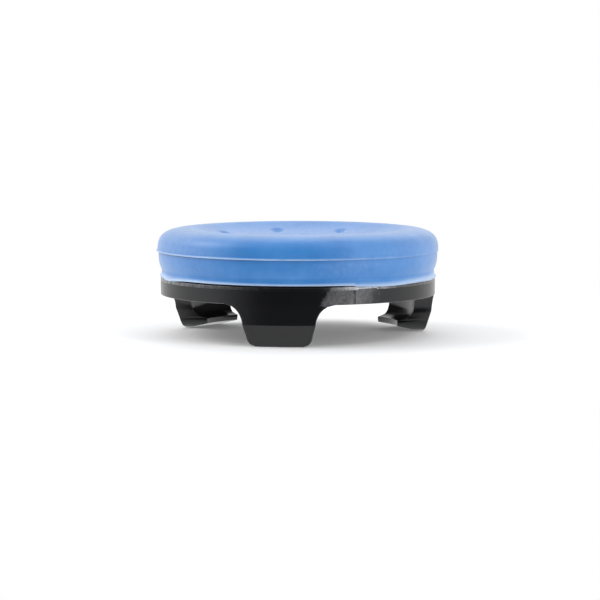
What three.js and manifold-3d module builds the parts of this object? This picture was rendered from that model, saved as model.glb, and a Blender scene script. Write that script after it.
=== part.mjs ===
// A clip-on thumb grip: a dished rubber thumb cap, moulded round the deck of a hard
// plastic base. The base has a round socket, and three hooked legs that snap under the
// edge of what it holds. Millimetres, +Z up, origin on the axis at the level of the
// three feet, one leg towards -Y.
import * as THREE from 'three';
import { mergeVertices } from 'three/addons/utils/BufferGeometryUtils.js';
import Module from 'manifold-3d';

const wasm = await Module();
wasm.setup();

// The round edge that the base snaps over.
const matingRadius = 10.18;
const matingClearance = 0.1; // between that edge and the rim round it

// Clip base: rim and deck.
const rimWall = 1.7;
const rimHeight = 1.6;
const rimEdge = 0.1; // small chamfer on the rim's upper edge
const seatRecess = 1.1; // how deep the socket's seat lies inside the rim
const bossRadius = 6.6; // low round boss in the middle of the seat
const bossHeight = 0.5;
const bossSlope = 0.35; // how far the boss's flank runs out
const deckLedge = 1.35; // flat ledge of the rim that the rubber skirt stands on
const deckThickness = 1.7;
const deckEdge = 0.25;

// Clip base: legs.
const legCount = 3;
const legDrop = 3.55; // from the rim's underside to the feet
const legKnee = 1.7; // from the rim's underside to the knee, where a leg turns inwards
const kneeTuck = 0.12; // how far the knee lies inside the rim's face
const footTuck = 0.65; // and how far the foot does
const footFlat = 0.4;
const legRootWidth = 6.5;
const legFootWidth = 6.0;
const legFillet = 1.8; // where a leg's sides run out into the rim
const legCorner = 0.85; // rounded corners of a foot
const hookRound = 1.25; // hollow of the hook
const hookLand = 0.2; // flat from the hollow to the hook's tip
const hookRise = 0.5; // the hook's underside climbs by this much to its tip
const hookTip = 0.5; // thickness of the tip

// Rubber cap.
const capOverhang = 0.27; // the seam's radius beyond the rim's face
const capHeight = 4.12; // from the rim's top to the crest
const seamHeight = 2.2;
const seamStep = 0.08; // the lower half of the mould made the skirt this much smaller
const skirtTuck = 0.28; // how far the skirt draws in above its lip
const skirtHold = 1.4; // the skirt starts to draw in about this far below the seam
const lipRadius = 0.17; // round bead along the skirt's bottom edge
const crestInset = 2.65; // the crest's circle inside the seam's
const shoulderRise = 1.3; // handle of the shoulder's curve above the seam
const shoulderRun = 2.05; // handle of the shoulder's curve outside the crest
const dishDepth = 1.5;
const dishRim = 0.9; // handle of the dish's curve inside the crest
const dishFloor = 7.5; // handle of the dish's curve from the axis

// Dimples in the dish.
const dimpleCount = 8;
const dimpleCircle = 7.45;
const dimpleRadius = 0.55;
const dimpleDepth = 0.3;

const mouldGap = 0.3; // room left between the deck's edge and the rubber

// Fineness of the faceted surfaces.
const turnSteps = 72;
const arcSteps = 5;
const ballColumns = 14;
const ballRows = 10;
const mergeDistance = 1e-5; // points closer than this are one
const curveTolerance = 1e-6; // how closely a place on the dish's curve is found

// Heights and radii that follow from them.
const rimBottom = legDrop;
const rimTop = rimBottom + rimHeight;
const seatLevel = rimBottom + seatRecess;
const deckTop = seatLevel + deckThickness;
const boreRadius = matingRadius + matingClearance;
const rimRadius = boreRadius + rimWall;
const deckRadius = rimRadius - deckLedge;
const capRadius = rimRadius + capOverhang;
const crestRadius = capRadius - crestInset;
const crestLevel = rimTop + capHeight;
const dishLevel = crestLevel - dishDepth;

function solidOf(geometry) {
  const bare = geometry.index ? geometry.toNonIndexed() : geometry.clone();
  bare.deleteAttribute('normal');
  bare.deleteAttribute('uv');
  const merged = mergeVertices(bare, mergeDistance);
  return new wasm.Manifold(new wasm.Mesh({
    numProp: 3,
    vertProperties: merged.attributes.position.array,
    triVerts: new Uint32Array(merged.index.array),
  }));
}

function geometryOf(solid) {
  const mesh = solid.getMesh();
  const geometry = new THREE.BufferGeometry();
  geometry.setAttribute('position', new THREE.BufferAttribute(mesh.vertProperties, 3));
  geometry.setIndex(new THREE.BufferAttribute(mesh.triVerts, 1));
  geometry.computeVertexNormals();
  return geometry;
}

// Turns an outline of (radius, height) round the Z axis. It runs anticlockwise, so
// that its faces point out.
function turned(path) {
  const points = path.getPoints(arcSteps);
  const geometry = new THREE.LatheGeometry(points, turnSteps);
  return solidOf(geometry.rotateX(Math.PI / 2));
}

// Places a solid `count` times round the Z axis.
function ringOf(count, firstTurn, geometryAtFront) {
  const copies = [];
  for (let i = 0; i < count; i++) {
    const turn = firstTurn + (i * 2 * Math.PI) / count;
    copies.push(solidOf(geometryAtFront().rotateZ(turn)));
  }
  return copies.reduce((all, one) => all.add(one));
}

// Rim, deck and boss in one turned section.
function baseBody() {
  const path = new THREE.Path();
  path.moveTo(0, seatLevel - bossHeight);
  path.lineTo(bossRadius - bossSlope, seatLevel - bossHeight);
  path.lineTo(bossRadius, seatLevel);
  path.lineTo(boreRadius, seatLevel);
  path.lineTo(boreRadius, rimBottom);
  path.lineTo(rimRadius, rimBottom);
  path.lineTo(rimRadius, rimTop - rimEdge);
  path.lineTo(rimRadius - rimEdge, rimTop);
  path.lineTo(deckRadius, rimTop);
  path.lineTo(deckRadius, deckTop - deckEdge);
  path.lineTo(deckRadius - deckEdge, deckTop);
  path.lineTo(0, deckTop);
  return turned(path);
}

// The section of a leg, turned all round: down to the knee, in to the foot, and a hook
// hollowed to a quarter round.
function legRing() {
  const footRadius = rimRadius - footTuck;
  const hollowRadius = boreRadius - hookRound;
  const tipRadius = hollowRadius - hookLand;
  const tipLevel = hookRise + hookTip;
  const path = new THREE.Path();
  path.moveTo(footRadius - footFlat, 0);
  path.lineTo(footRadius, 0);
  path.lineTo(rimRadius - kneeTuck, rimBottom - legKnee);
  path.lineTo(rimRadius, rimBottom);
  path.lineTo(rimRadius, rimTop - rimEdge);
  path.lineTo(boreRadius, rimTop - rimEdge);
  path.absarc(hollowRadius, tipLevel + hookRound, hookRound, 0, -Math.PI / 2, true);
  path.lineTo(tipRadius, tipLevel);
  path.lineTo(tipRadius, hookRise);
  path.lineTo(footRadius - footFlat, 0);
  return turned(path);
}

// A leg seen from outside: fillets up to the rim, tapered sides, rounded foot.
function legOutline() {
  const root = legRootWidth / 2;
  const foot = legFootWidth / 2;
  const shape = new THREE.Shape();
  shape.moveTo(foot - legCorner, 0);
  shape.absarc(foot - legCorner, legCorner, legCorner, -Math.PI / 2, 0, false);
  shape.lineTo(root, rimBottom - legFillet);
  shape.absarc(root + legFillet, rimBottom - legFillet, legFillet, Math.PI, Math.PI / 2, true);
  shape.lineTo(root + legFillet, rimTop);
  shape.lineTo(-root - legFillet, rimTop);
  shape.absarc(-root - legFillet, rimBottom - legFillet, legFillet, Math.PI / 2, 0, true);
  shape.lineTo(-foot, legCorner);
  shape.absarc(-foot + legCorner, legCorner, legCorner, Math.PI, 1.5 * Math.PI, false);
  return shape;
}

// The outline, swept along -Y into a block whose sides lie on planes through the axis.
function legBlock() {
  const inner = boreRadius / 2;
  const geometry = new THREE.ExtrudeGeometry(legOutline(), {
    depth: rimRadius,
    bevelEnabled: false,
    curveSegments: arcSteps,
  });
  geometry.translate(0, 0, inner).rotateX(Math.PI / 2);
  const places = geometry.attributes.position;
  for (let i = 0; i < places.count; i++) {
    const away = -places.getY(i);
    places.setX(i, (places.getX(i) * away) / rimRadius);
  }
  return geometry;
}

function clipBase() {
  return baseBody().add(legRing().intersect(ringOf(legCount, 0, legBlock)));
}

// The dish's section, from the crest in to the axis.
function dishCurve() {
  return new THREE.CubicBezierCurve(
    new THREE.Vector2(crestRadius, crestLevel),
    new THREE.Vector2(crestRadius - dishRim, crestLevel),
    new THREE.Vector2(dishFloor, dishLevel),
    new THREE.Vector2(0, dishLevel),
  );
}

// The rubber's section: the pocket that the deck fills, lip, skirt, seam, shoulder,
// crest and dish.
function capBody() {
  const skirtRadius = capRadius - seamStep - skirtTuck;
  const lipTop = rimTop + 2 * lipRadius;
  const seamLevel = rimTop + seamHeight;
  const pocketRadius = deckRadius + mouldGap;
  const path = new THREE.Path();
  path.moveTo(0, deckTop);
  path.lineTo(pocketRadius, deckTop);
  path.lineTo(pocketRadius, rimTop);
  path.lineTo(skirtRadius, rimTop);
  path.absarc(skirtRadius, rimTop + lipRadius, lipRadius, -Math.PI / 2, Math.PI / 2, false);
  path.bezierCurveTo(skirtRadius, lipTop + lipRadius,
    capRadius - seamStep, seamLevel - skirtHold,
    capRadius - seamStep, seamLevel);
  path.lineTo(capRadius, seamLevel);
  path.bezierCurveTo(capRadius, seamLevel + shoulderRise,
    crestRadius + shoulderRun, crestLevel,
    crestRadius, crestLevel);
  path.curves.push(dishCurve());
  return turned(path);
}

// Where the dish's section passes a given radius, and how much it slopes there.
function dishAt(radius) {
  const curve = dishCurve();
  let low = 0;
  let high = 1;
  while (high - low > curveTolerance) {
    const middle = (low + high) / 2;
    if (curve.getPoint(middle).x > radius) low = middle;
    else high = middle;
  }
  const tangent = curve.getTangent(low);
  return { level: curve.getPoint(low).y, slope: Math.atan2(-tangent.y, -tangent.x) };
}

// Round hollows in the dish, each a ball sunk square to the surface.
function dimples() {
  const ball = (dimpleRadius ** 2 + dimpleDepth ** 2) / (2 * dimpleDepth);
  const lift = ball - dimpleDepth;
  const { level, slope } = dishAt(dimpleCircle);
  const ballAtFront = () => new THREE.SphereGeometry(ball, ballColumns, ballRows)
    .rotateX(Math.PI / 2)
    .translate(0, -dimpleCircle + lift * Math.sin(slope), level + lift * Math.cos(slope));
  return ringOf(dimpleCount, Math.PI / dimpleCount, ballAtFront);
}

function rubberCap() {
  return capBody().subtract(dimples());
}

function part(name, solid, color, roughness) {
  const material = new THREE.MeshStandardMaterial({ color, roughness, metalness: 0 });
  const mesh = new THREE.Mesh(geometryOf(solid), material);
  mesh.name = name;
  return mesh;
}

const thumbGrip = new THREE.Group();
thumbGrip.add(part('clip_base', clipBase(), '#2b2c30', 0.45));
thumbGrip.add(part('rubber_cap', rubberCap(), '#4a8fd6', 0.6));

export default thumbGrip;
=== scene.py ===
import math
import bmesh
import bpy
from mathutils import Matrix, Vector, noise


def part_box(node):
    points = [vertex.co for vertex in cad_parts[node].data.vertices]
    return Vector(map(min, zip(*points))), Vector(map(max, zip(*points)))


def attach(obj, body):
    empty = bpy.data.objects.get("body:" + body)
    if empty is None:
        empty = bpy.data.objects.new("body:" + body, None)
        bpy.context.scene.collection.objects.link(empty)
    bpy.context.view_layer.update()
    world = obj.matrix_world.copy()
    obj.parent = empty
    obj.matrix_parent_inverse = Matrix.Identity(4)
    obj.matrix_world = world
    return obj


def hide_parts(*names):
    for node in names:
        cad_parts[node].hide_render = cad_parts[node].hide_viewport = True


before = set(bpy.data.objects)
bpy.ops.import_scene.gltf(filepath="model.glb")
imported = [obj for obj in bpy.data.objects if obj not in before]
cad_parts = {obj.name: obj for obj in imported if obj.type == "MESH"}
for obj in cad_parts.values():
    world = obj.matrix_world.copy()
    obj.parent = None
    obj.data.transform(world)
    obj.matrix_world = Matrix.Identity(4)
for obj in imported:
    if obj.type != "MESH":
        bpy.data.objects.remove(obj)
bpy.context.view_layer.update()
mm = 0.001  # in metres
mergeGap = 0.0005  # points closer than this are one, in mm
nearby = 0.01  # places this close count as the same, in mm
hair = 1e-4  # slack for rounding errors
print("frame loaded")

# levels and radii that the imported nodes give, in mm
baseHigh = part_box("clip_base")[1]
capLow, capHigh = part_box("rubber_cap")
rimRadius = baseHigh[0] / mm
capRadius = capHigh[0] / mm
rimTop = capLow[2] / mm
deckTop = baseHigh[2] / mm
crestLevel = capHigh[2] / mm


def leaveEditMode():
    if bpy.context.object and bpy.context.object.mode != "OBJECT":
        bpy.ops.object.mode_set(mode="OBJECT")
    bpy.ops.object.select_all(action="DESELECT")


def activate(piece):
    leaveEditMode()
    piece.select_set(True)
    bpy.context.view_layer.objects.active = piece


# turn of a place round the axis, to the right of the front leg
def turnOf(place):
    return math.atan2(place.x, -place.y)


# the way out from the axis, by a turn to the right of the front leg and a climb, in degrees
def wayOut(turn, climb):
    turn, climb = math.radians(turn), math.radians(climb)
    return Vector((math.sin(turn) * math.cos(climb), -math.cos(turn) * math.cos(climb), math.sin(climb)))


# one point, extruded from place to place, draws half of a section in the XZ plane
def drawSection(name, points):
    leaveEditMode()
    bpy.ops.mesh.primitive_plane_add(size=mm, location=(0, 0, 0))
    piece = bpy.context.object
    piece.name = name
    piece.data.name = name
    bpy.ops.object.mode_set(mode="EDIT")
    bpy.ops.mesh.select_mode(type="VERT")
    bpy.ops.mesh.select_all(action="SELECT")
    bpy.ops.mesh.merge(type="CENTER")
    here = Vector((0, 0, 0))
    for count, (radius, level) in enumerate(points):
        there = Vector((radius, 0, level)) * mm
        if count == 0:
            bpy.ops.transform.translate(value=there - here)
        else:
            bpy.ops.mesh.extrude_vertices_move(TRANSFORM_OT_translate={"value": there - here})
        here = there
    return piece


# the section is spun all round and closed on itself
def spinSection(name, points, columns):
    piece = drawSection(name, points)
    bpy.ops.mesh.select_all(action="SELECT")
    bpy.ops.mesh.spin(steps=columns, angle=math.tau, center=(0, 0, 0), axis=(0, 0, 1))
    bpy.ops.mesh.select_all(action="SELECT")
    bpy.ops.mesh.remove_doubles(threshold=mergeGap * mm)
    bpy.ops.mesh.normals_make_consistent(inside=False)
    bpy.ops.object.mode_set(mode="OBJECT")
    return piece


def bezier(start, startHandle, endHandle, end, steps):
    points = []
    for step in range(steps + 1):
        t = step / steps
        weights = ((1 - t) ** 3, 3 * t * (1 - t) ** 2, 3 * t * t * (1 - t), t ** 3)
        corners = (start, startHandle, endHandle, end)
        points.append(tuple(sum(w * c[axis] for w, c in zip(weights, corners)) for axis in (0, 1)))
    return points


def arc(centre, radius, fromTurn, toTurn, steps):
    points = []
    for step in range(steps + 1):
        turn = math.radians(fromTurn + (toTurn - fromTurn) * step / steps)
        points.append((centre[0] + radius * math.cos(turn), centre[1] + radius * math.sin(turn)))
    return points


def smoothShade(piece, angle):
    activate(piece)
    bpy.ops.object.shade_smooth_by_angle(angle=math.radians(angle))


def applyModifier(piece, kind, settings):
    activate(piece)
    modifier = piece.modifiers.new(kind.title(), kind)
    for key, value in settings.items():
        setattr(modifier, key, value)
    bpy.ops.object.modifier_apply(modifier=modifier.name)


# clip base, in mm
clip = {
    "columns": 252,  # 84 to each third, so that a leg's fillets end on columns
    "legColumns": 16,  # columns from a leg's middle to the end of its fillet
    "rimHeight": 1.6,
    "rimWall": 1.7,
    "seatRecess": 1.1,
    "bossRadius": 6.6,
    "bossHeight": 0.5,
    "bossSlope": 0.35,
    "deckLedge": 1.35,
    "rootWidth": 6.5,  # widths and fillet as seen flat, at the rim's radius
    "footWidth": 6.0,
    "fillet": 1.8,
    "corner": 0.85,
    "knee": 1.7,
    "kneeTuck": 0.12,
    "footTuck": 0.65,
    "footFlat": 0.4,
    "kneeHold": 0.05,  # rows this close above and below keep the knee's crease tight
    "hookRound": 1.25,
    "hookLand": 0.2,
    "landDrop": 0.04,  # a hook's tip lies this much lower than the end of its hollow
    "hookRise": 0.5,
    "hookTip": 0.5,
    "arcSteps": 12,
    "rowGap": 0.11,  # rows of an arc lie no closer, so that its edges can be rounded
    "edgeRound": 0.1,
    "edgeSegments": 3,
    "edgeAngle": 40,  # edges that turn by more than this are rounded
    "smoothAngle": 35,
    "rimShoulder": 0.08,  # the rim's outer edge lies this much lower than its ledge
    "rimRound": 0.13,  # round of that edge, which catches the light
    "rimRoundSteps": 5,
    "rimSlope": 0.39,  # the ledge starts to slope down to it this far inside the rim's face
    "rimRows": 8,
    "mouldLineColumn": 22,  # columns from a leg's middle to the mould line on the rim
    "mouldLineWidth": 0.06,
    "mouldLineHeight": 0.025,
    "mouldLineReach": 0.05,  # the line is made of upright edges this close to the rim's face
    "mismatch": 0.08,  # step between the halves of the mould, as the rim's top shows it
    "mismatchGap": 0.3,  # degrees past the mould line
    "mismatchFade": 60,  # degrees over which the step runs out
    "wornAndHighlitEdges": 0.15,  # how worn the rounded edges are, and how strong their painted highlight is
    "wornAndHighlitSlopes": (0.1, 0.97),  # worn faces with a painted highlight on the rim's rounded top point up between these
    # where that top is worn and has a painted highlight: turn, half width in degrees, strength
    "wornAndHighlitPlaces": ((37, 8.5, 1.8), (-62, 32, 0.45), (70, 25, 0.27), (180, 60, 0.3)),
    "wornAndHighlitDepth": 0.12,  # the wear and painted highlight reach this far down the rim's face, a little weaker
    "wornAndHighlitBelow": 0.7,
    # rubbed places on the rim: the turns where one starts, starts to fade and ends, strength
    "rubbedPlaces": ((20, 36, 55, 0.68), (31.7, 36, 48, 0.95), (-84, -76, -64, 0.8)),
    "rubbedSoft": 2,  # degrees over which one comes in
    "rubbedSlant": 3,  # degrees that a rubbed place leans to the left over each mm down
    "rubbedFade": 0.5,  # height under the rim over which it ends
}
rimBottom = rimTop - clip["rimHeight"]
rimEdge = rimTop - clip["rimShoulder"]
boreRadius = rimRadius - clip["rimWall"]
third = math.tau / 3  # turn from leg to leg


# the mould's halves don't quite meet: past the mould line the rim's top lies a little lower
def mismatchDrop(turn, size):
    start = 360 * size["mouldLineColumn"] / size["columns"] + size["mismatchGap"]
    along = (math.degrees(turn) - start) / size["mismatchFade"]
    return size["mismatch"] * (1 - along) if 0 <= along < 1 else 0


# seat, bore, rim, ledge and deck, from the axis and back to it
def baseSection(size):
    seat = rimBottom + size["seatRecess"]
    boss = size["bossRadius"]
    deck = rimRadius - size["deckLedge"]
    wall = rimEdge - size["rimRound"] - rimBottom
    return [
        (0, seat - size["bossHeight"]),
        (boss - size["bossSlope"], seat - size["bossHeight"]),
        (boss, seat),
        (boreRadius, seat),
        (boreRadius, rimBottom),
        *((rimRadius, rimBottom + wall * row / size["rimRows"]) for row in range(size["rimRows"])),
        *arc((rimRadius - size["rimRound"], rimEdge - size["rimRound"]), size["rimRound"],
            0, 90, size["rimRoundSteps"]),
        (rimRadius - size["rimSlope"], rimTop),
        (deck, rimTop),
        (deck, deckTop),
        (0, deckTop),
    ]


# level, outer radius, inner radius and half width of each row of a leg
def legRows(size):
    root, foot = size["rootWidth"] / 2, size["footWidth"] / 2
    fillet, corner, hookRound = size["fillet"], size["corner"], size["hookRound"]
    filletEnd = rimBottom - fillet
    kneeLevel = rimBottom - size["knee"]
    tipLevel = size["hookRise"] + size["hookTip"]
    hollowRadius = boreRadius - hookRound
    tipRadius = hollowRadius - size["hookLand"]
    footRadius = rimRadius - size["footTuck"]
    levels = [rimBottom, kneeLevel, kneeLevel + size["kneeHold"], kneeLevel - size["kneeHold"]]
    levels += [size["hookRise"], tipLevel, tipLevel - size["landDrop"], tipLevel + hookRound, 0.0]
    for step in range(1, size["arcSteps"]):
        turn = math.pi / 2 * step / size["arcSteps"]
        for level in (rimBottom - fillet * (1 - math.cos(turn)), corner * (1 - math.sin(turn)),
                tipLevel + hookRound * (1 - math.sin(turn))):
            if all(abs(level - other) > size["rowGap"] for other in levels):
                levels.append(level)
    rows = []
    for level in sorted(levels, reverse=True)[1:]:
        if level > filletEnd:
            width = root + fillet - math.sqrt(max(0, fillet ** 2 - (level - filletEnd) ** 2))
        elif level > corner:
            width = foot + (root - foot) * (level - corner) / (filletEnd - corner)
        else:
            width = foot - corner + math.sqrt(max(0, corner ** 2 - (corner - level) ** 2))
        if level > kneeLevel:
            outer = rimRadius - size["kneeTuck"] * (rimBottom - level) / size["knee"]
        else:
            drawn = (kneeLevel - level) / kneeLevel
            outer = rimRadius - size["kneeTuck"] + (size["kneeTuck"] - size["footTuck"]) * drawn
        drop = tipLevel + hookRound - level
        if drop <= 0:
            inner = boreRadius
        elif level > tipLevel - hair:
            inner = hollowRadius + math.sqrt(max(0, hookRound ** 2 - drop ** 2))
        elif level > size["hookRise"] - hair:
            inner = tipRadius
        else:
            climbed = 1 - level / size["hookRise"]
            inner = tipRadius + (footRadius - size["footFlat"] - tipRadius) * climbed
        rows.append((level, outer, inner, width))
    return rows


# the legs are extruded down from the rim's underside, a row at a time, and their sides lie
# on planes through the axis
def growLegs(piece, size):
    activate(piece)
    bpy.ops.object.mode_set(mode="EDIT")
    bpy.ops.mesh.select_mode(type="FACE")
    bpy.ops.mesh.select_all(action="DESELECT")
    mesh = bmesh.from_edit_mesh(piece.data)
    columnLayer = mesh.verts.layers.float.new("column")
    legLayer = mesh.verts.layers.float.new("leg")
    outerLayer = mesh.verts.layers.float.new("outer")
    topTurn = math.tau * size["legColumns"] / size["columns"]
    midRadius = (rimRadius + boreRadius) / 2
    for face in mesh.faces:
        middle = face.calc_center_median() / mm
        leg = round(turnOf(middle) / third)
        if abs(middle.z - rimBottom) > nearby or abs(turnOf(middle) - leg * third) > topTurn:
            continue
        face.select_set(True)
        for vert in face.verts:
            turn = (turnOf(vert.co) - leg * third + math.pi) % math.tau - math.pi
            vert[columnLayer] = turn / topTurn
            vert[legLayer] = leg
            vert[outerLayer] = vert.co.xy.length / mm > midRadius
    bmesh.update_edit_mesh(piece.data)
    for level, outer, inner, width in legRows(size):
        bpy.ops.mesh.extrude_region_move(TRANSFORM_OT_translate={"value": (0, 0, -hair * mm)})
        mesh = bmesh.from_edit_mesh(piece.data)
        columnLayer = mesh.verts.layers.float["column"]
        legLayer = mesh.verts.layers.float["leg"]
        outerLayer = mesh.verts.layers.float["outer"]
        for vert in mesh.verts:
            if not vert.select:
                continue
            radius = outer if vert[outerLayer] > 0.5 else inner
            turn = math.atan(vert[columnLayer] * width / rimRadius) + vert[legLayer] * third
            vert.co = Vector((radius * math.sin(turn), -radius * math.cos(turn), level)) * mm
        bmesh.update_edit_mesh(piece.data)
    mesh = bmesh.from_edit_mesh(piece.data)
    for name in ("column", "leg", "outer"):
        mesh.verts.layers.float.remove(mesh.verts.layers.float[name])
    bmesh.update_edit_mesh(piece.data)
    bpy.ops.mesh.select_all(action="SELECT")
    bpy.ops.mesh.remove_doubles(threshold=mergeGap * mm)
    bpy.ops.object.mode_set(mode="OBJECT")


# the halves of the mould left a fine upright line on the rim beside each leg
def raiseMouldLines(piece, size):
    activate(piece)
    bpy.ops.object.mode_set(mode="EDIT")
    for leg in range(3):
        turn = leg * third + math.tau * size["mouldLineColumn"] / size["columns"]
        facing = Vector((math.sin(turn), -math.cos(turn)))
        bpy.ops.mesh.select_mode(type="EDGE")
        bpy.ops.mesh.select_all(action="DESELECT")
        mesh = bmesh.from_edit_mesh(piece.data)
        for edge in mesh.edges:
            ends = [vert.co / mm for vert in edge.verts]
            reach = max((end.xy - facing * rimRadius).length for end in ends)
            top = max(end.z for end in ends)
            if reach < size["mouldLineReach"] and top < rimEdge - size["rimRound"] + nearby:
                edge.select_set(True)
        bmesh.update_edit_mesh(piece.data)
        bpy.ops.mesh.bevel(offset=size["mouldLineWidth"] * mm, segments=2, affect="EDGES")
        mesh = bmesh.from_edit_mesh(piece.data)
        for vert in mesh.verts:
            if vert.select and abs(vert.co.xy.normalized().cross(facing)) < hair:
                vert.co.xy += facing * size["mouldLineHeight"] * mm
        bmesh.update_edit_mesh(piece.data)
    bpy.ops.object.mode_set(mode="OBJECT")


# the rim's top follows the step between the mould's halves
def lowerRim(piece, size):
    for vert in piece.data.vertices:
        if rimEdge - size["rimRound"] - nearby < vert.co.z / mm < rimTop + nearby:
            if vert.co.xy.length / mm > rimRadius - size["deckLedge"] + nearby:
                vert.co.z -= mismatchDrop(turnOf(vert.co), size) * mm


# the sum at one turn of a smooth hump for each place, all in degrees
def placeShare(turn, places):
    share = 0
    for middle, half, strength in places:
        away = (turn - middle + 180) % 360 - 180
        share += strength * math.exp(-(away / half) ** 2)
    return share


# which faces are worn edges with a painted highlight, and how rubbed each point of the rim is
def markWear(piece, size):
    mesh = piece.data
    lineTurn = math.tau * size["mouldLineColumn"] / size["columns"]
    wornAndHighlit = mesh.attributes.new("wornAndHighlit", "FLOAT", "FACE")
    rubbed = mesh.attributes.new("rubbed", "FLOAT", "POINT")
    least, most = size["wornAndHighlitSlopes"]
    for face in mesh.polygons:
        share = size["wornAndHighlitEdges"] * face.material_index
        below = rimEdge - size["rimRound"] - face.center.z / mm
        if below < 0 and least < face.normal.z < most or 0 < below < size["wornAndHighlitDepth"]:
            turn = math.degrees(turnOf(face.center))
            share = placeShare(turn, size["wornAndHighlitPlaces"]) * (1 if below < 0 else size["wornAndHighlitBelow"])
        wornAndHighlit.data[face.index].value = share
        face.material_index = 0
    for vert in mesh.vertices:
        level = vert.co.z / mm
        onRim = min(1, 1 + (level - rimBottom) / size["rubbedFade"])
        inside = rimRadius - vert.co.xy.length / mm
        faceDepth = size["rimRound"] if level > rimBottom + size["edgeRound"] else size["edgeRound"] / 2
        if onRim <= 0 or level > rimTop or inside >= faceDepth:
            continue
        turn = turnOf(vert.co)
        slanted = math.degrees(turn) + (rimTop - level) * size["rubbedSlant"]
        share = 0
        for start, fade, end, strength in size["rubbedPlaces"]:
            within = min(1, (slanted - start) / size["rubbedSoft"], (end - slanted) / (end - fade))
            share = max(share, strength * within)
        offLine = (turn - lineTurn + third / 2) % third - third / 2
        if abs(offLine) * rimRadius < size["mouldLineWidth"] / 2:
            share = 0
        rubbed.data[vert.index].value = share * onRim


def makeClipBase(size):
    piece = spinSection("clipBase", baseSection(size), size["columns"])
    growLegs(piece, size)
    # the second of two empty slots marks the rounded edges
    for slot in range(2):
        piece.data.materials.append(None)
    applyModifier(piece, "BEVEL", {
        "width": size["edgeRound"] * mm,
        "segments": size["edgeSegments"],
        "limit_method": "ANGLE",
        "angle_limit": math.radians(size["edgeAngle"]),
        "material": 1,
    })
    raiseMouldLines(piece, size)
    lowerRim(piece, size)
    markWear(piece, size)
    smoothShade(piece, size["smoothAngle"])
    # the wide faces stay flat beside their rounded edges
    applyModifier(piece, "WEIGHTED_NORMAL", {"keep_sharp": True})
    return piece


# rubber cap, in mm
cap = {
    "columns": 360,
    "seamHeight": 2.2,
    "seamStep": 0.08,
    "flash": 0.11,  # the thin fin of rubber that stands out along the seam
    "flashFoot": 0.24,  # height of the fillet above it
    "flashTurn": -60,  # degrees from the front leg to where the fin stands out most
    "flashLeast": 0.08,  # its share of that on the far side
    "flashRagged": 0.3,
    "raggedRate": 14,
    "finHighlight": 0.16,  # the fin and the skin this far above it are pale: a painted highlight
    "finHighlightGain": 1.6,
    "finShade": 0.2,  # and the skin this far under it is dark: painted shade
    "shadeShare": 0.5,
    # pale bloom on the skin, dust and painted sheen: turn, level above the rim, half width and height in mm,
    # strength
    "dustAndSheenPlaces": (
        (-48, 3.3, 4.2, 1.5, 0.7), (-39, 2.5, 3.2, 0.5, 0.5), (-38, 1.2, 3.2, 0.6, 0.35),
        (31, 1.6, 3.6, 0.9, 0.8), (50, 2.9, 2.6, 0.6, 0.45), (70, 2.4, 4, 1.6, 0.5),
    ),
    "dishDustAndSheen": 1.4,  # the dish, where a thumb rests, is paler: dust and painted sheen
    "dishSoft": 2.2,  # the bloom in the dish comes in over this width
    "skirtTuck": 0.28,
    "skirtHold": 1.4,
    "lipRadius": 0.17,
    "lipFlare": 0.5,  # height over which the skirt flares out to its lip
    "lipGap": 0.03,  # height of the dark slit under the lip
    # where the soft lip sags over the rim's edge: turn, half width in degrees, drop
    "lipSags": ((49, 15, 0.16), (79, 16, 0.14), (-59, 9, 0.17)),
    "flareHandle": 1.4,  # its curve's handle ends this many times that high
    "lipEdge": 0.05,  # roundness of the lip's and the fin's thin edges
    "edgeHandle": 1.2,
    "lipHighlight": (0.22, 0.42),  # height of the pale band on the lip, in front and at the sides: a painted highlight
    "deckLedge": 1.35,
    "mouldGap": 0.3,
    "crestInset": 2.65,
    "shoulderRise": 1.3,
    "shoulderRun": 2.05,
    "dishDepth": 1.5,
    "dishRim": 0.9,
    "dishFloor": 7.5,
    "dimpleCount": 8,
    "dimpleCircle": 7.45,
    "dimpleReach": 0.66,
    "dimpleDepth": 0.24,
    "dimpleSoft": 1.5,
    # how many points the parts of the section have
    "edgeSteps": 5,
    "finSteps": 4,
    "flareSteps": 10,
    "skirtSteps": 18,
    "footSteps": 8,
    "shoulderSteps": 28,
    "dishSteps": 84,
    "smoothAngle": 50,
}


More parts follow.
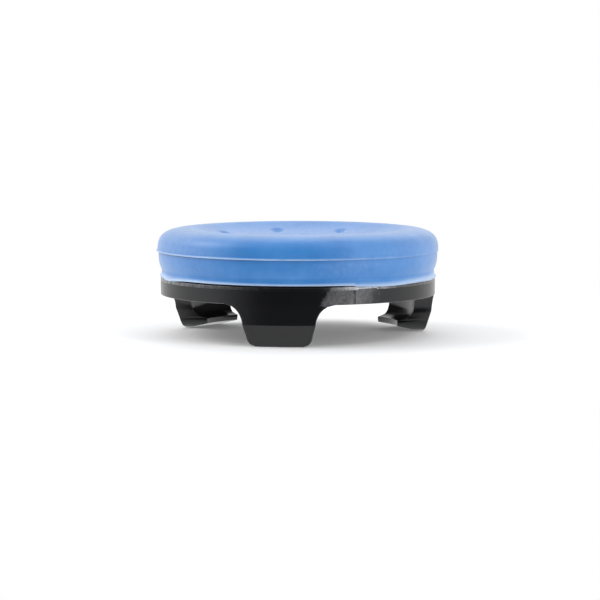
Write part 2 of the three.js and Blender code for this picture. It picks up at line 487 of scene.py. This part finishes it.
# pocket, lip, skirt, fin, shoulder and dish, from the axis and back to it
def capSection(size):
    skirt = capRadius - size["seamStep"] - size["skirtTuck"]
    lip = skirt + size["lipRadius"]
    seam = rimTop + size["seamHeight"]
    held = capRadius - size["seamStep"]
    pocket = rimRadius - size["deckLedge"] + size["mouldGap"]
    crest = capRadius - size["crestInset"]
    dish = crestLevel - size["dishDepth"]
    fin = capRadius + size["flash"]
    edge = size["lipEdge"]
    handle = size["edgeHandle"] * edge
    slit = rimTop + size["lipGap"]
    flare = size["lipFlare"]
    foot = seam + size["flashFoot"]
    points = [(0, deckTop), (pocket, deckTop), (pocket, rimTop), (skirt - edge, rimTop)]
    points += bezier((skirt, rimTop), (skirt + edge, rimTop),
        (skirt + edge, slit), (lip - edge, slit), size["edgeSteps"])
    points += arc((lip - edge / 2, slit + edge / 2), edge / 2, -90, 60, size["edgeSteps"])
    points += bezier((lip - edge / 2, slit + handle), (skirt + edge, slit + 2 * edge),
        (skirt, slit + flare / 3), (skirt, slit + flare), size["flareSteps"])
    points += bezier((skirt, slit + flare), (skirt, slit + size["flareHandle"] * flare),
        (held, seam - size["skirtHold"]), (held, seam - size["finShade"]), size["skirtSteps"])[1:]
    points += [(held, seam - size["finShade"] / 2), (held + edge / 4, seam - edge)]
    points += [(capRadius, seam - edge / 2), (fin - edge / 2, seam - edge / 4)]
    points += arc((fin - edge / 2, seam + edge / 4), edge / 2, -60, 80, size["finSteps"])
    points += bezier((fin - handle / 2, seam + edge), (capRadius + edge / 2, seam + handle),
        (capRadius, (seam + foot) / 2), (capRadius, foot), size["footSteps"])
    points += bezier((capRadius, foot), (capRadius, seam + size["shoulderRise"]),
        (crest + size["shoulderRun"], crestLevel), (crest, crestLevel), size["shoulderSteps"])[1:]
    points += bezier((crest, crestLevel), (crest - size["dishRim"], crestLevel),
        (size["dishFloor"], dish), (0, dish), size["dishSteps"])[1:]
    return points


# the fin along the seam is strong on one side of the cap, ragged, and fades on the other
def finShare(turn, size):
    share = size["flashLeast"] + (1 - size["flashLeast"]) * (
        0.5 + 0.5 * math.cos(turn - math.radians(size["flashTurn"])))
    around = Vector((math.sin(turn), -math.cos(turn), 0)) * size["raggedRate"]
    return share * (1 + size["flashRagged"] * noise.noise(around))


# the fin is drawn in towards the cap's face by its share at each turn
def fadeFin(piece, size):
    seam = rimTop + size["seamHeight"]
    for vert in piece.data.vertices:
        place = vert.co / mm
        radius = place.xy.length
        if radius > capRadius and abs(place.z - seam) < size["flashFoot"]:
            share = finShare(turnOf(place), size)
            vert.co.xy *= (capRadius + (radius - capRadius) * share) / radius


# the lip's lower half follows the step in the rim's top and sags in places, and the skirt
# above it gives way to match
def lowerLip(piece, size):
    for vert in piece.data.vertices:
        place = vert.co / mm
        share = 1 - (place.z - rimTop) / size["lipFlare"]
        if place.xy.length > rimRadius - size["deckLedge"] + 2 * size["mouldGap"] and share > 0:
            turn = turnOf(place)
            drop = mismatchDrop(turn, clip) + placeShare(math.degrees(turn), size["lipSags"])
            vert.co.z -= drop * min(1, 2 * share) * mm


# thin edges get a pale painted highlight, the skin just under the fin and inside the lip's slit gets dark
# painted shade, and the skin gets its dust and painted sheen
def markEdges(piece, size):
    mesh = piece.data
    pale = mesh.attributes.new("pale", "FLOAT", "POINT")
    shade = mesh.attributes.new("shade", "FLOAT", "POINT")
    dustAndSheen = mesh.attributes.new("dustAndSheen", "FLOAT", "POINT")
    seam = rimTop + size["seamHeight"]
    slit = rimTop + size["lipGap"]
    front, side = size["lipHighlight"]
    for vert in mesh.vertices:
        place = vert.co / mm
        turn = turnOf(place)
        # pale patches of dust and painted sheen on the skin, and in the dish
        for middle, height, halfWidth, halfHeight, strength in size["dustAndSheenPlaces"]:
            across = (turn - math.radians(middle)) * capRadius / halfWidth
            away = math.hypot(across, (place.z - rimTop - height) / halfHeight)
            dustAndSheen.data[vert.index].value += strength * math.exp(-away * away)
        inDish = (capRadius - size["crestInset"] - place.xy.length) / size["dishSoft"]
        if place.z > rimTop + size["seamHeight"] and inDish > 0:
            dustAndSheen.data[vert.index].value += size["dishDustAndSheen"] * min(1, inDish)
        if place.xy.length < capRadius - 2 * size["skirtTuck"]:
            continue
        # pale painted highlight along the fin and on the lip's band
        share = min(1, size["finHighlightGain"] * finShare(turn, size) ** 2)
        above = place.z - seam + size["lipEdge"] / 2
        lipTop = slit + front + (side - front) * math.sin(turn) ** 2
        if above > 0:
            pale.data[vert.index].value = share * max(0, 1 - above / size["finHighlight"])
        elif place.z > slit - nearby:
            pale.data[vert.index].value = min(1, max(0, (lipTop - place.z) / front))
            # painted shade just under the fin
            under = max(0, 1 + above / size["finShade"])
            shade.data[vert.index].value = size["shadeShare"] * share * under
        # painted shade in the lip's slit
        else:
            shade.data[vert.index].value = 1


# the dimples are pressed into the dish by their weights in a vertex group
def pressDimples(piece, size):
    group = piece.vertex_groups.new(name="dimples")
    crest = capRadius - size["crestInset"]
    for vert in piece.data.vertices:
        place = vert.co / mm
        if place.z < rimTop + size["seamHeight"] or place.xy.length > crest:
            continue
        spacing = math.tau / size["dimpleCount"]
        turn = turnOf(place)
        nearest = (math.floor(turn / spacing) + 0.5) * spacing
        middle = Vector((math.sin(nearest), -math.cos(nearest))) * size["dimpleCircle"]
        away = (place.xy - middle).length / size["dimpleReach"]
        if away < 1:
            group.add([vert.index], (1 - away ** 2) ** size["dimpleSoft"], "REPLACE")
    applyModifier(piece, "DISPLACE", {
        "strength": -size["dimpleDepth"] * mm,
        "mid_level": 0,
        "direction": "NORMAL",
        "vertex_group": "dimples",
    })
    piece.vertex_groups.clear()


def makeRubberCap(size):
    piece = spinSection("rubberCap", capSection(size), size["columns"])
    fadeFin(piece, size)
    markEdges(piece, size)
    lowerLip(piece, size)
    pressDimples(piece, size)
    smoothShade(piece, size["smoothAngle"])
    return piece


# a screen colour's linear values
def toLinear(hexColour):
    parts = [int(hexColour[i:i + 2], 16) / 255 for i in (1, 3, 5)]
    return [p / 12.92 if p <= 0.04045 else ((p + 0.055) / 1.055) ** 2.4 for p in parts] + [1]


# adds a node, sets its properties and inputs, and links what feeds it
def addNode(tree, kind, settings, links):
    node = tree.nodes.new(kind)
    for key, value in settings.items():
        if isinstance(key, str) and hasattr(node, key):
            setattr(node, key, value)
        else:
            node.inputs[key].default_value = value
    for key, source in links.items():
        tree.links.new(source, node.inputs[key])
    return node


def newMaterial(name):
    material = bpy.data.materials.new(name)
    material.use_nodes = True
    tree = material.node_tree
    return material, tree, tree.nodes["Principled BSDF"]


# blue rubber, in mm; each noise has its size, detail and roughness
rubber = {
    "deep": "#1f7dca",
    "pale": "#3f8cd6",
    "tintLimits": (0.38, 0.64),  # the pigment goes from deep to pale between these
    "cloud": (3.5, 4, 0.5),  # it is a little cloudy
    "streak": (0.7, 3, 0.5),  # flow streaks run up the wall, this wide
    "streakTall": 7,  # and this many times as tall
    "streakShare": 0.12,
    # painted highlight on the thin fin and lip
    "thinEdgeHighlight": "#b4d0f4",
    # painted shade under the fin and in the lip's slit
    "undercutShade": "#0f2c52",
    # pale bloom tone: dust and painted sheen
    "dustAndSheen": "#a9bdec",
    "dustAndSheenShare": 0.4,
    "dustAndSheenSpecks": (0.35, 6, 0.65),  # the dust and painted sheen lie in small specks
    "dustAndSheenSpecksLimits": (0.2, 0.8),
    "speck": (0.55, 5, 0.5),  # drawn about twice as coarse as the real moulding grain
    "speckLimits": (0.3, 0.7),
    "speckBump": 0.25,
    "speckDepth": 0.03,
    "grain": (0.16, 3, 0.5),  # its finest part
    "grainBump": 0.2,
    "grainDepth": 0.02,
    "roughness": (0.34, 0.48),
    # a little light goes into the rubber, and its skin has a soft sheen
    "skin": {
        "IOR": 1.5,
        "Subsurface Weight": 0.15,
        "Subsurface Radius": (0.3, 0.5, 1.0),
        "Subsurface Scale": 0.8 * mm,
        "Sheen Weight": 0.5,
        "Sheen Roughness": 0.52,
    },
}


# moulded thermoplastic rubber: a satin skin with a pale bloom of dust and painted sheen, painted highlights
# on its thin edges and painted shade under the fin and in the lip's slit, a little cloudy within
def mouldedRubber(look):
    material, tree, shader = newMaterial("mouldedBlueRubber")
    place = addNode(tree, "ShaderNodeTexCoord", {}, {})
    stretched = addNode(tree, "ShaderNodeMapping", {"Scale": (1, 1, 1 / look["streakTall"])},
        {"Vector": place.outputs["Object"]})
    noises = {}
    for name in ("cloud", "streak", "dustAndSheenSpecks", "speck", "grain"):
        width, detail, roughness = look[name]
        source = stretched.outputs["Vector"] if name == "streak" else place.outputs["Object"]
        pattern = addNode(tree, "ShaderNodeTexNoise", {"Scale": 1 / (width * mm), "Detail": detail,
            "Roughness": roughness}, {"Vector": source})
        noises[name] = pattern.outputs["Fac"]
    mottle = addNode(tree, "ShaderNodeMix", {"data_type": "FLOAT", 0: look["streakShare"]},
        {2: noises["cloud"], 3: noises["streak"]})
    tint = addNode(tree, "ShaderNodeValToRGB", {}, {"Fac": mottle.outputs[0]})
    for index, tone in enumerate(("deep", "pale")):
        tint.color_ramp.elements[index].position = look["tintLimits"][index]
        tint.color_ramp.elements[index].color = toLinear(look[tone])
    # pale bloom of dust and painted sheen, broken into specks
    dustAndSheenMark = addNode(tree, "ShaderNodeAttribute", {"attribute_name": "dustAndSheen"}, {})
    least, most = look["dustAndSheenSpecksLimits"]
    patch = addNode(tree, "ShaderNodeMapRange", {"From Min": least, "From Max": most,
        "To Max": look["dustAndSheenShare"]}, {"Value": noises["dustAndSheenSpecks"]})
    dustAndSheened = addNode(tree, "ShaderNodeMath", {"operation": "MULTIPLY"},
        {0: dustAndSheenMark.outputs["Fac"], 1: patch.outputs["Result"]})
    coats = [(dustAndSheened.outputs["Value"], "dustAndSheen")]
    # painted highlight on thin edges, then painted shade under the fin and in the slit
    for mark, tone in (("pale", "thinEdgeHighlight"), ("shade", "undercutShade")):
        share = addNode(tree, "ShaderNodeAttribute", {"attribute_name": mark}, {})
        coats.append((share.outputs["Fac"], tone))
    colour = tint.outputs["Color"]
    for share, tone in coats:
        coat = addNode(tree, "ShaderNodeMix", {"data_type": "RGBA", 7: toLinear(look[tone])},
            {0: share, 6: colour})
        colour = coat.outputs[2]
    tree.links.new(colour, shader.inputs["Base Color"])
    least, most = look["speckLimits"]
    smooth, rough = look["roughness"]
    gloss = addNode(tree, "ShaderNodeMapRange", {"From Min": least, "From Max": most,
        "To Min": smooth, "To Max": rough}, {"Value": noises["speck"]})
    tree.links.new(gloss.outputs["Result"], shader.inputs["Roughness"])
    waves = addNode(tree, "ShaderNodeBump", {"Strength": look["speckBump"],
        "Distance": look["speckDepth"] * mm}, {"Height": noises["speck"]})
    bump = addNode(tree, "ShaderNodeBump", {"Strength": look["grainBump"],
        "Distance": look["grainDepth"] * mm}, {"Height": noises["grain"], "Normal": waves.outputs["Normal"]})
    tree.links.new(bump.outputs["Normal"], shader.inputs["Normal"])
    for key, value in look["skin"].items():
        shader.inputs[key].default_value = value
    return material


# black plastic, in mm; each noise has its size, detail and roughness
plastic = {
    "clean": "#151619",
    "rubbed": "#535357",
    "scuffed": "#747478",
    "scuffLimits": (0.35, 0.75),
    "patchLimits": (0.85, 1.4),  # a patch comes in as the rubbed mark and the scratches add up
    # near-white painted highlight on the worn rounded edges
    "edge": "#f0f0f4",
    "edgeHighlightShares": (0.15, 0.9),
    "edgeHighlightLimits": (0.35, 0.65),
    "wave": (1.3, 2, 0.5),  # sink and flow leave the skin a little wavy
    "waveBump": 0.3,
    "waveDepth": 0.04,
    "grain": (0.17, 5, 0.5),
    "grainBump": 0.3,
    "grainDepth": 0.015,
    "scratch": (0.45, 6, 0.7),  # breaks up the rubbed places and the worn edges
    "roughness": (0.2, 0.5),  # where it is clean and where it is rubbed
    "refraction": 1.53,
}


# moulded ABS: near black and rather glossy, duller and greyer where it is rubbed, with a near-white painted
# highlight on its worn edges
def mouldedPlastic(look):
    material, tree, shader = newMaterial("mouldedBlackPlastic")
    place = addNode(tree, "ShaderNodeTexCoord", {}, {})
    noises = {}
    for name in ("wave", "grain", "scratch"):
        width, detail, roughness = look[name]
        pattern = addNode(tree, "ShaderNodeTexNoise", {"Scale": 1 / (width * mm), "Detail": detail,
            "Roughness": roughness}, {"Vector": place.outputs["Object"]})
        noises[name] = pattern.outputs["Fac"]
    rubbed = addNode(tree, "ShaderNodeAttribute", {"attribute_name": "rubbed"}, {})
    ragged = addNode(tree, "ShaderNodeMath", {"operation": "ADD"},
        {0: rubbed.outputs["Fac"], 1: noises["scratch"]})
    least, most = look["patchLimits"]
    patch = addNode(tree, "ShaderNodeMapRange", {"From Min": least, "From Max": most},
        {"Value": ragged.outputs["Value"]})
    least, most = look["scuffLimits"]
    speckled = addNode(tree, "ShaderNodeMapRange", {"From Min": least, "From Max": most},
        {"Value": noises["grain"]})
    scuff = addNode(tree, "ShaderNodeMix", {"data_type": "RGBA", 6: toLinear(look["rubbed"]),
        7: toLinear(look["scuffed"])}, {0: speckled.outputs["Result"]})
    # worn edges: wear and a patchy painted highlight
    wornAndHighlit = addNode(tree, "ShaderNodeAttribute", {"attribute_name": "wornAndHighlit"}, {})
    least, most = look["edgeHighlightLimits"]
    faint, bright = look["edgeHighlightShares"]
    patchy = addNode(tree, "ShaderNodeMapRange", {"From Min": least, "From Max": most,
        "To Min": faint, "To Max": bright}, {"Value": noises["scratch"]})
    edge = addNode(tree, "ShaderNodeMath", {"operation": "MULTIPLY"},
        {0: wornAndHighlit.outputs["Fac"], 1: patchy.outputs["Result"]})
    skin = addNode(tree, "ShaderNodeMix", {"data_type": "RGBA", 6: toLinear(look["clean"])},
        {0: patch.outputs["Result"], 7: scuff.outputs[2]})
    colour = addNode(tree, "ShaderNodeMix", {"data_type": "RGBA", 7: toLinear(look["edge"])},
        {0: edge.outputs["Value"], 6: skin.outputs[2]})
    tree.links.new(colour.outputs[2], shader.inputs["Base Color"])
    dullness = addNode(tree, "ShaderNodeMath", {"operation": "MAXIMUM"},
        {0: patch.outputs["Result"], 1: edge.outputs["Value"]})
    clean, dull = look["roughness"]
    gloss = addNode(tree, "ShaderNodeMapRange", {"To Min": clean, "To Max": dull},
        {"Value": dullness.outputs["Value"]})
    tree.links.new(gloss.outputs["Result"], shader.inputs["Roughness"])
    waves = addNode(tree, "ShaderNodeBump", {"Strength": look["waveBump"],
        "Distance": look["waveDepth"] * mm}, {"Height": noises["wave"]})
    bump = addNode(tree, "ShaderNodeBump", {"Strength": look["grainBump"],
        "Distance": look["grainDepth"] * mm}, {"Height": noises["grain"], "Normal": waves.outputs["Normal"]})
    tree.links.new(bump.outputs["Normal"], shader.inputs["Normal"])
    shader.inputs["IOR"].default_value = look["refraction"]
    return material


def dress(piece, material, node):
    piece.data.materials.clear()
    piece.data.materials.append(material)
    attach(piece, "root")
    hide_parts(node)


clipBase = makeClipBase(clip)
dress(clipBase, mouldedPlastic(plastic), "clip_base")
print("clip base:", len(clipBase.data.polygons), "faces")

rubberCap = makeRubberCap(cap)
dress(rubberCap, mouldedRubber(rubber), "rubber_cap")
print("rubber cap:", len(rubberCap.data.polygons), "faces")

# the hidden nodes carry the finishes too
for name, piece in (("clip_base", clipBase), ("rubber_cap", rubberCap)):
    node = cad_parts[name]
    node.data.materials.clear()
    node.data.materials.append(piece.data.materials[0])

# camera: as the photograph was taken, in mm and degrees
shot = {
    "distance": 227.5,
    "azimuth": 8.0,  # the front leg stands a little left of the middle
    "elevation": 4.7,
    "lens": 156.0,
    "aimDown": 2.21,  # the aim below the top of the rim, and right of the axis
    "aimRight": 0.18,
    "sensor": 36,
    "near": 10,  # what lies between these distances is drawn
    "far": 10000,
}


def placeCamera(size):
    data = bpy.data.cameras.new("camera")
    camera = bpy.data.objects.new("camera", data)
    bpy.context.collection.objects.link(camera)
    back = wayOut(size["azimuth"], size["elevation"])
    right = wayOut(size["azimuth"] + 90, 0)
    up = back.cross(right)
    middle = Vector((0, 0, rimTop)) * mm
    camera.location = middle + back * size["distance"] * mm
    aim = middle + (right * size["aimRight"] - up * size["aimDown"]) * mm
    camera.rotation_euler = (aim - camera.location).to_track_quat("-Z", "Y").to_euler()
    data.lens = size["lens"]
    data.sensor_width = size["sensor"]
    data.clip_start = size["near"] * mm
    data.clip_end = size["far"] * mm
    bpy.context.scene.camera = camera


# studio, in mm; turns are degrees right of the camera's direction, seen from the grip
studio = {
    "floorWhite": "#f4f4f4",
    "floorRadius": 3000,
    "floorSides": 96,
    "floorRoughness": 0.7,
    "floorLift": 0.12,  # the lit floor is brought up to plain white
    "fadeFrom": 18,  # the floor turns from lit white to plain white between these radii
    "fadeTo": 60,
    # the room is dark in front and turns white between these limits: at its sides they are
    # turns, above and below they are heights on a ball of radius 1
    "darkLeft": (-25, -85),
    "darkRight": (27, 36),
    "darkTop": (0.55, 0.9),
    "darkFloor": (-0.25, -0.6),
    "sideGlow": 0.9,
    "topGlow": 0.85,
    "floorGlow": 0.9,
}

# lamps: turn and climb, distance, width and height in mm, power in watts, and whether the
# grip mirrors them
panels = {
    "topPanel": (180, 55, 260, 220, 120, 0.045, True),
    "rightPanel": (48, 10, 240, 140, 160, 0.1, True),
    "leftPanel": (-95, 40, 240, 160, 120, 0.22, True),
    "keyPanel": (55, 52, 240, 60, 60, 0.055, True),
    "frontPanel": (-15, 25, 300, 260, 160, 0.06, False),
}


# pale floor: diffuse round the grip, plain white further off
def placeFloor(size):
    leaveEditMode()
    bpy.ops.mesh.primitive_circle_add(vertices=size["floorSides"], radius=size["floorRadius"] * mm,
        fill_type="NGON", location=(0, 0, 0))
    floor = bpy.context.object
    floor.name = "floor"
    material, tree, shader = newMaterial("paleFloor")
    shader.inputs["Base Color"].default_value = toLinear(size["floorWhite"])
    shader.inputs["Roughness"].default_value = size["floorRoughness"]
    shader.inputs["Emission Color"].default_value = (1, 1, 1, 1)
    shader.inputs["Emission Strength"].default_value = size["floorLift"]
    place = addNode(tree, "ShaderNodeTexCoord", {}, {})
    distance = addNode(tree, "ShaderNodeVectorMath", {"operation": "LENGTH"},
        {0: place.outputs["Object"]})
    fade = addNode(tree, "ShaderNodeMapRange", {"interpolation_type": "SMOOTHSTEP",
        "From Min": size["fadeFrom"] * mm, "From Max": size["fadeTo"] * mm},
        {"Value": distance.outputs["Value"]})
    glow = addNode(tree, "ShaderNodeEmission", {"Strength": 1.0}, {})
    mixed = addNode(tree, "ShaderNodeMixShader", {},
        {0: fade.outputs["Result"], 1: shader.outputs["BSDF"], 2: glow.outputs["Emission"]})
    tree.links.new(mixed.outputs["Shader"], tree.nodes["Material Output"].inputs["Surface"])
    floor.data.materials.append(material)
    floor.visible_glossy = False


def addPanel(name, turn, climb, distance, width, height, power, mirrored):
    data = bpy.data.lights.new(name, "AREA")
    data.shape = "RECTANGLE"
    data.size, data.size_y = width * mm, height * mm
    data.energy = power
    panel = bpy.data.objects.new(name, data)
    bpy.context.collection.objects.link(panel)
    away = wayOut(turn + shot["azimuth"], climb)
    middle = Vector((0, 0, rimTop)) * mm
    panel.location = middle + away * distance * mm
    panel.rotation_euler = away.to_track_quat("Z", "Y").to_euler()
    panel.visible_glossy = mirrored
    panel.visible_camera = False


# a white room that is dark in front, and white to the camera itself
def lightRoom(size):
    world = bpy.data.worlds.new("studio")
    bpy.context.scene.world = world
    world.use_nodes = True
    tree = world.node_tree
    place = addNode(tree, "ShaderNodeTexCoord", {}, {})
    turned = addNode(tree, "ShaderNodeVectorRotate", {"rotation_type": "Z_AXIS",
        "Angle": -math.radians(shot["azimuth"])}, {"Vector": place.outputs["Generated"]})
    parts = addNode(tree, "ShaderNodeSeparateXYZ", {}, {"Vector": turned.outputs["Vector"]})
    ahead = addNode(tree, "ShaderNodeMath", {"operation": "MULTIPLY", 1: -1}, {0: parts.outputs["Y"]})
    turn = addNode(tree, "ShaderNodeMath", {"operation": "ARCTAN2"},
        {0: parts.outputs["X"], 1: ahead.outputs["Value"]})
    glow = None
    for edge, strength, source in (
        ("darkLeft", "sideGlow", turn.outputs["Value"]),
        ("darkRight", "sideGlow", turn.outputs["Value"]),
        ("darkTop", "topGlow", parts.outputs["Z"]),
        ("darkFloor", "floorGlow", parts.outputs["Z"]),
    ):
        start, end = size[edge]
        if strength == "sideGlow":
            start, end = math.radians(start), math.radians(end)
        part = addNode(tree, "ShaderNodeMapRange", {"interpolation_type": "SMOOTHSTEP",
            "From Min": start, "From Max": end, "To Max": size[strength]}, {"Value": source})
        if glow:
            part = addNode(tree, "ShaderNodeMath", {"operation": "MAXIMUM"},
                {0: glow, 1: part.outputs["Result"]})
        glow = part.outputs[0]
    path = addNode(tree, "ShaderNodeLightPath", {}, {})
    strength = addNode(tree, "ShaderNodeMix", {"data_type": "FLOAT", 3: 1.0},
        {0: path.outputs["Is Camera Ray"], 2: glow})
    tree.links.new(strength.outputs[0], tree.nodes["Background"].inputs["Strength"])
    tree.nodes["Background"].inputs["Color"].default_value = (1, 1, 1, 1)
    for name, values in panels.items():
        addPanel(name, *values)


placeCamera(shot)
placeFloor(studio)
lightRoom(studio)
bpy.context.scene.view_settings.view_transform = "Standard"
print("stage set")
